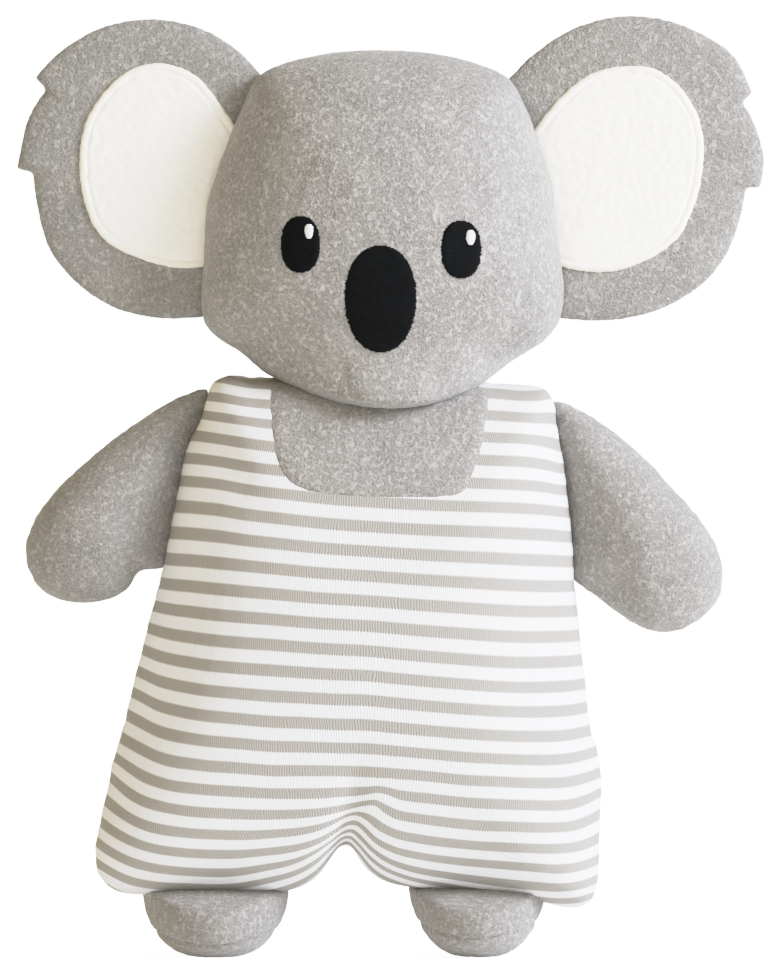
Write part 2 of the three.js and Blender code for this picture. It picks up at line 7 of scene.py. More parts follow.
# %% Load the frame
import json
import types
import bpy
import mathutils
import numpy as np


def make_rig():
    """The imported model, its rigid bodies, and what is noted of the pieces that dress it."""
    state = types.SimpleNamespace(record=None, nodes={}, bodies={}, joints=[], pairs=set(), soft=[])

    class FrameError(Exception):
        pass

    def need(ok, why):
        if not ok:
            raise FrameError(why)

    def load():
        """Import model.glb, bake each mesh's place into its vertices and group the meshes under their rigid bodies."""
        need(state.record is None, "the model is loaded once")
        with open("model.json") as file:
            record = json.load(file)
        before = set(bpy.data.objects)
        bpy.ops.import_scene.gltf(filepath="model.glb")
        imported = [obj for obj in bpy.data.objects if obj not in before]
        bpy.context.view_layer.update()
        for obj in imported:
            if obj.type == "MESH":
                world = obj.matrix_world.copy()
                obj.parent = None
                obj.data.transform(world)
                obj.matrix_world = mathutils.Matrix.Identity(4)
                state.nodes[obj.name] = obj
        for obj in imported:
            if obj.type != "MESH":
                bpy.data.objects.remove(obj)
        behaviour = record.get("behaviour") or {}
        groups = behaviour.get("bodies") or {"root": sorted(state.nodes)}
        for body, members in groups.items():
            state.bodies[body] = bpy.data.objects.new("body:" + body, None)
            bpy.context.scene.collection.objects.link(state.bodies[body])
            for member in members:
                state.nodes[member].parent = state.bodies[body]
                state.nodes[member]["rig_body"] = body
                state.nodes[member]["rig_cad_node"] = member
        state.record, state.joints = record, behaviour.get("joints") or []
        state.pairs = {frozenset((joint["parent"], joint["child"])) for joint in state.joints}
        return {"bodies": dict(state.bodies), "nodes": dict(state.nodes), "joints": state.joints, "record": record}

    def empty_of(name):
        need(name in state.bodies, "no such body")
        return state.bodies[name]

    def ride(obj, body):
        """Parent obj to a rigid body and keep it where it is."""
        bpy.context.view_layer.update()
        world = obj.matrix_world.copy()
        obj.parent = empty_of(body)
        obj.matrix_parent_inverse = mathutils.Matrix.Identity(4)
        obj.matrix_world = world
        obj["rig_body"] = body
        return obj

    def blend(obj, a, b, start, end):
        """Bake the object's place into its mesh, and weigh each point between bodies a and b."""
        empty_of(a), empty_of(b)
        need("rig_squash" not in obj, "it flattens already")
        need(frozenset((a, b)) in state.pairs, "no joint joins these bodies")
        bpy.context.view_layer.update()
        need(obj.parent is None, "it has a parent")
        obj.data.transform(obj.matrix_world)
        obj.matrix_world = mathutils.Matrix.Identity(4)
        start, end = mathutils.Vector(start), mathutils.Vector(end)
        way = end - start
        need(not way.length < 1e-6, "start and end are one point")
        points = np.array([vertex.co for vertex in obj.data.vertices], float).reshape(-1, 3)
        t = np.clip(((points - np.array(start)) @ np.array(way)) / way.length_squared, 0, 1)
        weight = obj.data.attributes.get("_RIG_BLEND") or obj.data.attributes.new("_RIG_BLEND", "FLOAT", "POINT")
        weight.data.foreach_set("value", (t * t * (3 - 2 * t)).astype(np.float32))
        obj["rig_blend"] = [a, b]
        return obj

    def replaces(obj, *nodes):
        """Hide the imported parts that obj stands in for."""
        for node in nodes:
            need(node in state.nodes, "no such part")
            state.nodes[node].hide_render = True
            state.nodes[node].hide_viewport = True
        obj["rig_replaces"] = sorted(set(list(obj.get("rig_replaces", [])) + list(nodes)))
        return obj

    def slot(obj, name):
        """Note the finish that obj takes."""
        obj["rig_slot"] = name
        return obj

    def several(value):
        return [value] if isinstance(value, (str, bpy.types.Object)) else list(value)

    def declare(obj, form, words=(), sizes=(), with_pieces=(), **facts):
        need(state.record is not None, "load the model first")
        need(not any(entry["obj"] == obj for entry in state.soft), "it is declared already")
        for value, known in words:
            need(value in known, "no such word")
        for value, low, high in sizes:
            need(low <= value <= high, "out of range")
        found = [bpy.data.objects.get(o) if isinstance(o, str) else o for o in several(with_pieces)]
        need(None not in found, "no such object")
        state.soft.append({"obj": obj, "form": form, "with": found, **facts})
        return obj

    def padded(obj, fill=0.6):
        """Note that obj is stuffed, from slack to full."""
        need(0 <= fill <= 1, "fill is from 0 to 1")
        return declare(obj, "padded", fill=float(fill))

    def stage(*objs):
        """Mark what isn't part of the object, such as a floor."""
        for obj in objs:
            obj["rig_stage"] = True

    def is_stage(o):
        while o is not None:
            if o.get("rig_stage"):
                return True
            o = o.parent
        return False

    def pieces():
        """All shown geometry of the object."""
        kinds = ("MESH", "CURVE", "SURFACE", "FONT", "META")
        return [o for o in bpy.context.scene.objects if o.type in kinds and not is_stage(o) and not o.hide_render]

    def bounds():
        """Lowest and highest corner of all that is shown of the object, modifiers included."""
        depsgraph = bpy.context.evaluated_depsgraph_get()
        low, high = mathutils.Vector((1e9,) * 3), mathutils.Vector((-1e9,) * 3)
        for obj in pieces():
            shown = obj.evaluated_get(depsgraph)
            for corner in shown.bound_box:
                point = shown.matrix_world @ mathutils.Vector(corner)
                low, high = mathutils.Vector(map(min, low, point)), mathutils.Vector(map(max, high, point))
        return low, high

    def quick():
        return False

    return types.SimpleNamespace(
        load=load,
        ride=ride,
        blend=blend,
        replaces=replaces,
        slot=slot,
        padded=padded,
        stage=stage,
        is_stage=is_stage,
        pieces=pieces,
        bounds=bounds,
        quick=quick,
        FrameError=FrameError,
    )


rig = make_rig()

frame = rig.load()

import json
import math

import bmesh
import bpy
import numpy as np
from mathutils import Vector, geometry, noise
from mathutils.bvhtree import BVHTree

cad_box = [list(corner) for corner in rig.bounds()]
joints = {joint["name"]: joint for joint in frame["joints"]}
print("solid model's box in metres:", cad_box)

# %% [markdown]
# ## From the photograph to the toy
# The outlines were read off the photograph as pixels. The toy was seen straight from the front, and its sewn edges all
# lie close to one upright plane, so one scale turns a pixel into a place on that plane.
# What stands in front of the plane looks a little larger to the camera, and `facing` allows for that.

# %% Scale, seam plane and camera place
mm = 0.001
pixel = 0.35 * mm
photo_width, photo_height = 782, 977
middle_column = 391.96
floor_row = 954.5
camera_distance = 2.6
neck = Vector(joints["head_nod"]["pos_m"])
seam = neck.y


def on_plane(points):
    columns, rows = np.array(points, float).T
    return np.column_stack(((columns - middle_column) * pixel, (floor_row - rows) * pixel))


def facing(column, row, depth):
    """The place on a plane `depth` in front of the seams that the camera sees at this pixel."""
    nearer = (camera_distance - depth) / camera_distance
    across = photo_width / 2 + (column - photo_width / 2) * nearer
    down = photo_height / 2 + (row - photo_height / 2) * nearer
    return on_plane([(across, down)])[0]


print("seams at y =", round(seam, 5), "and neck joint at z =", round(neck.z, 4))

# %% [markdown]
# ## Sewn outlines
# A sewn edge is a smooth line with a few true corners, such as the points of the ear tufts. Each outline is
# one or more smooth runs that meet at those corners. A Bezier arc joins each pair of points, and its handles
# follow the points on either side, which keeps the line from swinging past a close pair.

# %% Smooth runs through given points
line_step = 1.0 * mm


def smooth_run(points, closed=False):
    points = on_plane(points)
    if closed:
        guides = np.vstack([points[-1], points, points[:2]])
    else:
        guides = np.vstack([2 * points[0] - points[1], points, 2 * points[-1] - points[-2]])
    line = []
    for before, start, end, after in zip(guides, guides[1:], guides[2:], guides[3:]):
        gaps = (start - before, end - start, after - end)
        first, middle, last = (math.sqrt(np.linalg.norm(gap)) for gap in gaps)
        leaving = (start - before) / first - (end - before) / (first + middle) + (end - start) / middle
        arriving = (end - start) / middle - (after - start) / (middle + last) + (after - end) / last
        knots = (start, start + leaving * middle / 3, end - arriving * middle / 3, end)
        count = max(2, round(np.linalg.norm(end - start) / line_step))
        line += geometry.interpolate_bezier(*(Vector((x, z, 0)) for x, z in knots), count + 1)[:-1]
    return np.array(line)[:, :2]


def outline(*runs):
    return np.vstack([smooth_run(run) for run in runs])


print("sewn lines get a point every", line_step / mm, "mm")

# %% [markdown]
# ## A ball drawn out to a stuffed form
# Two panels sewn along their edge and filled make a cushion: thickest at its heart, thin and round at the
# seam. A UV sphere has the same layout, with the seam as its equator. Its points are moved out to the sewn
# edge and swell to the form's depth, and `blunt` says how squarely the form holds its thickness towards the
# edge.

# %% Drawing out a ball
def unit_ball(spokes, rings):
    mesh = bmesh.new()
    bmesh.ops.create_uvsphere(mesh, u_segments=spokes, v_segments=rings, radius=1)
    data = bpy.data.meshes.new("ball")
    mesh.to_mesh(data)
    mesh.free()
    return data


form_ball = unit_ball(spokes=256, rings=64)


def reach_of(edge, heart):
    """How far the edge lies from the heart of the form, by direction."""
    spokes = edge - heart
    turns = np.arctan2(spokes[:, 1], spokes[:, 0])
    order = np.argsort(turns)
    lengths = np.hypot(spokes[:, 0], spokes[:, 1])[order]
    return lambda turn: np.interp(turn, turns[order], lengths, period=2 * math.pi)


def places(piece):
    co = np.empty(len(piece.data.vertices) * 3)
    piece.data.vertices.foreach_get("co", co)
    return co.reshape(-1, 3)


def set_places(piece, co):
    piece.data.vertices.foreach_set("co", co.ravel())
    piece.data.update()


def new_piece(name, data):
    piece = bpy.data.objects.new(name, data)
    bpy.context.collection.objects.link(piece)
    return piece


def drawn_ball(name, edge, heart, swelling, ball=form_ball):
    """`swelling` gives the depth of points at (x, z); their share says how far out they lie, from 0 to 1."""
    piece = new_piece(name, ball.copy())
    across, along, poleward = places(piece).T
    share = np.minimum(np.hypot(across, along), 1)
    turn = np.arctan2(along, across)
    out = reach_of(edge, heart)(turn) * share
    x, z = heart[0] + out * np.cos(turn), heart[1] + out * np.sin(turn)
    set_places(piece, np.column_stack((x, swelling(x, z, share, turn, poleward >= 0), z)))
    return piece


def swell(share, depth, blunt):
    return depth * (1 - share ** blunt) ** (1 / blunt)


def cushion(front_depth, back_depth, blunt, bend=lambda z: 0):
    def swelling(x, z, share, turn, front):
        ahead, behind = swell(share, front_depth, blunt(turn)), swell(share, back_depth, blunt(turn))
        return seam + bend(z) + np.where(front, -ahead, behind)
    return swelling


print("the ball for a stuffed form has", len(form_ball.vertices), "points")

# %% [markdown]
# ## Stuffing by simulation
# Voxel remeshing gives the form even faces. Blender's cloth then does what the filling does: the seam is
# held, air pressure pushes the panels out, and the cloth, cut a little larger than the form, puckers where
# the seam holds it back. The movement levels off at a cap, so the form keeps the size of the real one, and
# it is shared between neighbouring points before it is applied to the mesh.

# %% Remeshing, cloth and subdivision
stuffing_frames, settling_rounds = 18, 10
no_move = 1e-9


def apply_modifiers(piece):
    seen = piece.evaluated_get(bpy.context.evaluated_depsgraph_get())
    made = bpy.data.meshes.new_from_object(seen)
    piece.modifiers.clear()
    piece.data = made


def normals(piece):
    out = np.empty(len(piece.data.vertices) * 3)
    piece.data.vertex_normals.foreach_get("vector", out)
    return out.reshape(-1, 3)


def even_faces(piece, size):
    remesh = piece.modifiers.new("even faces", "REMESH")
    remesh.mode = "VOXEL"
    remesh.voxel_size = size
    apply_modifiers(piece)


def subdivide(piece, levels):
    smooth = piece.modifiers.new("smooth cloth", "SUBSURF")
    smooth.levels = smooth.render_levels = levels
    apply_modifiers(piece)


def settled(piece, values, rounds=settling_rounds):
    """Rows of values at a piece's points, shared with their neighbours, as filling evens out creases."""
    ends = np.array([edge.vertices for edge in piece.data.edges])
    ends = np.vstack([ends, ends[:, ::-1]])
    shared = np.bincount(ends[:, 0])[:, None]
    for _ in range(rounds):
        sums = [np.bincount(ends[:, 0], column[ends[:, 1]]) for column in values.T]
        values = np.column_stack(sums) / shared
    return values


def stuff(piece, pressure, cap, held_width, slack):
    """A short cloth run: the seam is held, and pressure pushes out cloth that is a little too large."""
    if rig.quick():
        return
    rest = places(piece)
    held = piece.vertex_groups.new(name="seam")
    held.add(np.flatnonzero(abs(rest[:, 1] - seam) < held_width).tolist(), 1, "REPLACE")
    cloth = piece.modifiers.new("stuffing", "CLOTH")
    cloth.settings.vertex_group_mass = "seam"
    cloth.settings.use_pressure = True
    cloth.settings.uniform_pressure_force = pressure
    cloth.settings.shrink_min = -slack
    cloth.settings.effector_weights.gravity = 0
    cloth.collision_settings.use_collision = False
    cloth.point_cache.frame_end = stuffing_frames
    for moment in range(1, stuffing_frames + 1):
        bpy.context.scene.frame_set(moment)
    apply_modifiers(piece)
    bpy.context.scene.frame_set(1)
    move = places(piece) - rest
    length = np.maximum(np.linalg.norm(move, axis=1, keepdims=True), no_move)
    move = settled(piece, move / length * cap * np.tanh(length / cap))
    set_places(piece, rest + move)
    piece.vertex_groups.clear()
    moved = np.linalg.norm(move, axis=1) / mm
    print(f"{piece.name}: points moved {moved.mean():.1f} mm on average and {moved.max():.1f} at most")


print("a cloth run takes", stuffing_frames, "frames, and sharing its movement", settling_rounds, "rounds")

# %% [markdown]
# ## Nap and seams in the mesh
# Short-pile fleece is lumpy at a scale of a few millimetres, and a seam pulls the cloth in along its line.
# Both are worked into the mesh along its normals, so they show on the outline and from every side.

# %% Working a finished form along its normals
nap_height, nap_size = 0.22 * mm, 2.2 * mm
ripple_share_across, ripple_share_back = 0.3, 0.15


def push(piece, heights):
    set_places(piece, places(piece) + normals(piece) * heights[:, None])


def raise_nap(piece, height=nap_height):
    lumps = [noise.noise(Vector(co) / nap_size) for co in places(piece)]
    push(piece, height * np.array(lumps))


def pull_seam(piece, depth, width, from_seam):
    push(piece, -depth * np.exp(-((from_seam / width) ** 2)))


def side_puckers(piece, height, length, width):
    """Small ripples that run in from the side seam and fade."""
    co = places(piece)
    drawn_out = [(x * ripple_share_across, (y - seam) * ripple_share_back, z) for x, y, z in co]
    ripples = [noise.noise(Vector(spot) / length) for spot in drawn_out]
    push(piece, height * np.array(ripples) * np.exp(-abs(co[:, 1] - seam) / width))


print("nap stands", nap_height / mm, "mm high in lumps of", nap_size / mm, "mm")

# %% [markdown]
# ## Shader helpers
# A short helper adds a node, sets its inputs and joins sockets in one line, so that each material below
# reads as a list of what the cloth is made of.

# %% Node helpers
def node(tree, kind, inputs=None, **settings):
    made = tree.nodes.new("ShaderNode" + kind)
    for name, value in settings.items():
        setattr(made, name, value)
    for name, value in (inputs or {}).items():
        if isinstance(value, bpy.types.NodeSocket):
            tree.links.new(value, made.inputs[name])
        else:
            made.inputs[name].default_value = value
    return made


def maths(tree, operation, *values):
    return node(tree, "Math", dict(enumerate(values)), operation=operation).outputs[0]


def band(tree, value, low, high):
    """How far a value has come from low to high, as 0 to 1."""
    return node(tree, "MapRange", {"Value": value, "From Min": low, "From Max": high}, clamp=True).outputs[0]


def mix_colours(tree, share, first, second):
    mixed = node(tree, "Mix", {0: share, 6: first, 7: second}, data_type="RGBA")
    return mixed.outputs[2]


def linear(red, green, blue):
    """A colour read off the photograph as 0 to 255, as the light that it stands for."""
    shares = (value / 255 for value in (red, green, blue))
    return (*(s / 12.92 if s <= 0.04045 else ((s + 0.055) / 1.055) ** 2.4 for s in shares), 1)


def new_group(name, outputs, inputs):
    group = bpy.data.node_groups.new(name, "ShaderNodeTree")
    for label, default in inputs:
        socket = group.interface.new_socket(label, in_out="INPUT", socket_type="NodeSocketFloat")
        socket.default_value = default
    for label in outputs:
        group.interface.new_socket(label, in_out="OUTPUT", socket_type="NodeSocketFloat")
    return group, group.nodes.new("NodeGroupInput"), group.nodes.new("NodeGroupOutput")


def new_material(name, **sockets):
    material = bpy.data.materials.new(name)
    material.use_nodes = True
    shader = material.node_tree.nodes["Principled BSDF"]
    for label, value in sockets.items():
        shader.inputs[label.replace("_", " ")].default_value = value
    return material, material.node_tree, shader


def join(tree, source, target):
    tree.links.new(source, target)


print("the photograph's middle grey, 128, is light of", round(linear(128, 128, 128)[0], 3))

# %% [markdown]
# ## Curly pile
# Close up the fleece is a mass of soft curls about 1.7 mm across. One group makes them for every fleece on the toy: a
# noise for the curls, with a faint crevice wherever it passes its middle, a finer noise for single fibres and a broad
# one for the way that the pile lies. It gives a height for the bump and a shade for the colour that follows the same
# height, so the curl tops are painted lighter and the crevices between them carry painted shade, over a random tone
# from the broad noise.

# %% Curly pile group
fleece_curls, fibres_to_a_curl, lies_per_metre = 580, 2.2, 75
noise_middle, crevice_width = 0.5, 0.16
crevice_share, curl_share, fibre_share, lie_share = 0.08, 0.36, 0.5, 0.15
darkest_level, lightest_level = 0.335, 0.745
fleece_bump = 0.8 * mm

pile, pile_in, pile_out = new_group("Curly pile", ("Shade", "Height"), [("Curls per metre", fleece_curls)])
spots = node(pile, "TexCoord").outputs["Object"]
curl = node(pile, "TexNoise", {"Vector": spots, "Scale": pile_in.outputs[0], "Detail": 1})
finer = maths(pile, "MULTIPLY", pile_in.outputs[0], fibres_to_a_curl)
fibre = node(pile, "TexNoise", {"Vector": spots, "Scale": finer, "Detail": 2, "Roughness": 0.6})
lie = node(pile, "TexNoise", {"Vector": spots, "Scale": lies_per_metre, "Detail": 2})
from_crevice = maths(pile, "ABSOLUTE", maths(pile, "SUBTRACT", curl.outputs[0], noise_middle))
tall = maths(pile, "MULTIPLY", band(pile, from_crevice, 0, crevice_width), crevice_share)
lumpy = maths(pile, "MULTIPLY_ADD", curl.outputs[0], curl_share, tall)
pile_height = maths(pile, "MULTIPLY_ADD", fibre.outputs[0], fibre_share, lumpy)
shade_and_lie = maths(pile, "MULTIPLY_ADD", lie.outputs[0], lie_share, pile_height)
join(pile, pile_height, pile_out.inputs["Height"])
# Painted shade: the colour share rises with the pile's height, so crevices are darker and curl tops lighter; the broad
# noise adds random tone.
join(pile, band(pile, shade_and_lie, darkest_level, lightest_level), pile_out.inputs["Shade"])


def piled(tree, curls):
    pile_node = node(tree, "Group", node_tree=pile)
    pile_node.inputs["Curls per metre"].default_value = curls
    return pile_node.outputs


def fleece(name, dark, light):
    material, tree, shader = new_material(name, Roughness=1.0, Sheen_Weight=0.3, Sheen_Roughness=0.45)
    curly = piled(tree, fleece_curls)
    # The fleece colour takes the pile's painted shade: darker in the crevices, lighter on the curl tops.
    join(tree, mix_colours(tree, curly["Shade"], dark, light), shader.inputs["Base Color"])
    raised = node(tree, "Bump", {"Height": curly["Height"], "Distance": fleece_bump, "Strength": 1.0})
    join(tree, raised.outputs[0], shader.inputs["Normal"])
    return material


head_fleece = fleece("head fleece", linear(110, 107, 102), linear(182, 178, 173))
limb_fleece = fleece("limb fleece", linear(111, 108, 103), linear(177, 173, 168))
ear_fleece = fleece("ear fleece", linear(111, 108, 103), linear(172, 169, 163))
print("fleece colours made:", [m.name for m in (head_fleece, limb_fleece, ear_fleece)])

# %% [markdown]
# ## Striped jersey
# The romper is a fine knit: its upright ribs, about 0.85 mm apart, run across the grey and white stripes and
# notch their edges. The stripes bend where the filling stretches the cloth, so the material doesn't work
# from a flat position. It reads two attributes that are laid over the finished form: the stripe number down
# the cloth and the rib number across it. A slow noise lets the ribs wander, as loops do in a knit that is
# stretched over a filling.

# %% Jersey material
rib_width, courses_in_stripe = 0.85 * mm, 13
white_share, stripe_middle = 0.51, 0.5
wander_per_metre, wander_turn = 260, 12
notch_share, edge_softness = 0.022, 0.02
course_share, groove_bottom, rib_top = 0.35, -1.2, 0.9
whole_turn = 2 * math.pi

jersey, jersey_tree, jersey_shader = new_material(
    "striped jersey", Roughness=0.92, Sheen_Weight=0.12, Sheen_Roughness=0.5
)
stripe = node(jersey_tree, "Attribute", attribute_name="stripe").outputs["Fac"]
rib = node(jersey_tree, "Attribute", attribute_name="rib").outputs["Fac"]
cloth_spots = node(jersey_tree, "TexCoord").outputs["Object"]
drift = node(jersey_tree, "TexNoise", {"Vector": cloth_spots, "Scale": wander_per_metre, "Detail": 1})
wander = maths(jersey_tree, "MULTIPLY", drift.outputs[0], wander_turn)
ribs = maths(jersey_tree, "SINE", maths(jersey_tree, "MULTIPLY_ADD", rib, whole_turn, wander))
course = maths(jersey_tree, "SINE", maths(jersey_tree, "MULTIPLY", stripe, whole_turn * courses_in_stripe))
toothed = maths(jersey_tree, "MULTIPLY_ADD", ribs, notch_share, stripe)
centred = maths(jersey_tree, "FRACT", maths(jersey_tree, "ADD", toothed, stripe_middle - white_share / 2))
from_white = maths(jersey_tree, "ABSOLUTE", maths(jersey_tree, "SUBTRACT", centred, stripe_middle))
greyness = band(jersey_tree, from_white, white_share / 2 - edge_softness, white_share / 2 + edge_softness)
knit = maths(jersey_tree, "MULTIPLY_ADD", course, course_share, ribs)
groove_shade_share = band(jersey_tree, knit, groove_bottom, rib_top)
# Painted shade: each yarn is darker in the grooves between ribs and courses and lighter on their tops, besides the
# bump below.
grey_yarn = mix_colours(jersey_tree, groove_shade_share, linear(149, 145, 138), linear(176, 172, 164))
white_yarn = mix_colours(jersey_tree, groove_shade_share, linear(227, 226, 226), linear(249, 249, 250))
yarn = mix_colours(jersey_tree, greyness, white_yarn, grey_yarn)
join(jersey_tree, yarn, jersey_shader.inputs["Base Color"])
knit_bump = node(jersey_tree, "Bump", {"Height": knit, "Distance": 0.06 * mm, "Strength": 0.8})
join(jersey_tree, knit_bump.outputs[0], jersey_shader.inputs["Normal"])
print("jersey: a rib every", rib_width / mm, "mm and", courses_in_stripe, "courses to a stripe")

# %% [markdown]
# ## White lining and embroidery thread
# The ear linings are brushed white cloth whose turned-in rim looks creamier, which an attribute marks. The thread has
# no painted lustre, because its lustre comes from real strands in the mesh, but its fuzz takes the pile's painted
# shade.

# %% Lining and thread materials
lining_curls, thread_curls = 900, 1400
lining_white, lining_tree, lining_shader = new_material("lining fleece", Roughness=0.95, Sheen_Weight=0.25)
rim = node(lining_tree, "Attribute", attribute_name="rim").outputs["Fac"]
brushed = piled(lining_tree, lining_curls)
# The lining colour takes the pile's painted shade, darker in its crevices.
napped = mix_colours(lining_tree, brushed["Shade"], linear(245, 239, 227), linear(254, 250, 240))
rimmed = mix_colours(lining_tree, rim, napped, linear(246, 239, 223))
join(lining_tree, rimmed, lining_shader.inputs["Base Color"])
soft = node(lining_tree, "Bump", {"Height": brushed["Height"], "Distance": 0.16 * mm, "Strength": 0.7})
join(lining_tree, soft.outputs[0], lining_shader.inputs["Normal"])


def thread_material(name, dark, light):
    material, tree, shader = new_material(name, Roughness=0.75, Specular_IOR_Level=0.12)
    fuzz = piled(tree, thread_curls)
    # The thread colour takes the pile's painted shade in its fuzz, darker in the crevices.
    join(tree, mix_colours(tree, fuzz["Shade"], dark, light), shader.inputs["Base Color"])
    worn = node(tree, "Bump", {"Height": fuzz["Height"], "Distance": 0.12 * mm})
    join(tree, worn.outputs[0], shader.inputs["Normal"])
    return material


black_thread = thread_material("black thread", linear(4, 5, 6), linear(16, 18, 19))
white_thread = thread_material("white thread", linear(225, 226, 228), linear(252, 252, 252))
print("made:", [m.name for m in (lining_white, black_thread, white_thread)])


def dress(piece, material, slot, *nodes):
    """Give a piece its cloth, its slot and the solids that it stands for."""
    piece.data.shade_smooth()
    piece.data.materials.clear()
    piece.data.materials.append(material)
    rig.slot(piece, slot)
    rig.replaces(piece, *nodes)
    return piece


# %% [markdown]
# ## Head
# Two fleece panels, wide at the cheeks and flat at the crown. The chin is pushed forward over the chest by
# the body below it, so the form bends forward towards its lowest edge. The corners of the outline leave
# ridges in the drawn ball. Sharing each point's depth with its neighbours takes them out, as firm filling
# does, and the cloth run then fills out the cheeks and the brow.

# %% Head outline and form
head_edge = smooth_run([
    (385, 50.5), (440, 55), (485, 67), (509, 79), (526, 108), (538, 138), (548, 167), (554, 202), (559, 240),
    (563, 272), (564, 302), (558, 324), (543, 342), (521, 355), (500, 369.5), (476, 388), (434, 404),
    (395, 409), (358, 406), (318, 397), (285, 383.5), (258, 368), (243, 353), (219, 339), (205, 325),
    (201, 308), (203, 260), (208, 200), (218, 168), (234, 125), (245, 100), (258, 76), (290, 62), (335, 53),
], closed=True)
head_heart = on_plane([(390, 240)])[0]
face_depth, nape_depth, head_blunt = 44 * mm, 42 * mm, 2.25
chin_forward, jaw_height, jaw_above_neck = 28 * mm, 36 * mm, 23 * mm
jaw_level = neck.z + jaw_above_neck
untouched_rim, rim_to_cheek, depth_rounds = 8 * mm, 14 * mm, 16


def chin_bend(z):
    return -chin_forward * np.clip((jaw_level - z) / jaw_height, 0, 1) ** 3


head_form = cushion(face_depth, nape_depth, lambda turn: head_blunt, chin_bend)
head = drawn_ball("head_plush", head_edge, head_heart, head_form)
even_faces(head, size=3.4 * mm)
co = places(head)
thickness = co[:, 1:2] - seam - chin_bend(co[:, 2:3])
away_from_seam = np.clip((abs(thickness) - untouched_rim) / rim_to_cheek, 0, 1)
co[:, 1:2] += away_from_seam * (settled(head, thickness, rounds=depth_rounds) - thickness)
set_places(head, co)
stuff(head, pressure=3, cap=3 * mm, held_width=2 * mm, slack=0.004)
subdivide(head, 2)
_, y, z = places(head).T
pull_seam(head, depth=0.7 * mm, width=0.9 * mm, from_seam=y - seam - chin_bend(z))
raise_nap(head)
dress(head, head_fleece, "head_fleece", "head_face_panel", "head_back_panel", "head_filling")
print("head has", len(head.data.polygons), "faces")

# %% [markdown]
# ## Body in its romper
# The body is one form in front and behind, with a notch at the crotch between two short legs. The jersey is
# the whole surface of it, and the fleece chest is laid into the top.

# %% Body outline and form
body_edge = outline(
    [(344, 840), (354, 847), (362, 863), (382, 879), (409, 885.5), (450, 888), (491, 892), (534, 899),
     (562, 906), (584, 906), (594, 897), (598, 881), (600, 833), (602, 790), (599, 752), (592, 730),
     (589, 715), (587, 685), (584, 660), (579, 612), (575, 582), (574, 551), (572, 523), (566, 475),
     (558, 433), (552, 395), (543, 387), (517, 384), (487, 381), (440, 379), (380, 378), (320, 377),
     (269, 376.5), (222, 376.5), (213, 381), (209, 390), (201, 421), (187, 446), (179, 478), (170, 521),
     (163, 560), (158, 580), (150, 610), (142, 640), (135, 670), (128, 700), (121, 730), (112, 760),
     (106, 790), (100, 820), (95, 850), (99, 875), (111, 888), (134, 894), (187, 894), (230, 893),
     (267, 891), (286, 890), (308, 883), (327, 864), (337, 846), (344, 840)],
)
body_heart = on_plane([(370, 665)])[0]
belly_depth, back_depth = 36 * mm, 33 * mm
side_blunt, hem_extra, shoulder_extra = 2.4, 1.6, 1.1
gather_height, gather_width, gather_stretch = 0.9 * mm, 4.5 * mm, 0.35


def body_blunt(turn):
    down, up = np.maximum(0, -np.sin(turn)), np.maximum(0, np.sin(turn))
    return side_blunt + hem_extra * down ** 2 + shoulder_extra * up ** 2


romper = drawn_ball("romper", body_edge, body_heart, cushion(belly_depth, back_depth, body_blunt))
even_faces(romper, size=2.7 * mm)
stuff(romper, pressure=3, cap=4 * mm, held_width=2.2 * mm, slack=0.006)
subdivide(romper, 1)
side_puckers(romper, height=0.5 * mm, length=4 * mm, width=7 * mm)
pull_seam(romper, depth=0.6 * mm, width=1.1 * mm, from_seam=places(romper)[:, 1] - seam)
co = places(romper)
gathers = np.array([noise.noise(Vector((x, 0, z * gather_stretch)) / gather_width) for x, _, z in co])
push(romper, gather_height * gathers * np.exp((co[:, 2] - co[:, 2].max()) / gather_width))
dress(romper, jersey, "striped_jersey", "romper_front", "romper_back", "body_filling")
print("romper has", len(romper.data.polygons), "faces")

# %% [markdown]
# ### Laying the stripes
# The stripes run almost level at the chest, curl up at the sides where the cloth turns round, and crowd
# together towards the hem. Above the crotch they are drawn up into a crease that leans to the right. A few
# of them were drawn over the photograph as smooth lines, and the stripe number of a point follows from the
# lines above and below it. The same cloth goes round to the back, so the stripes meet at the side seams.

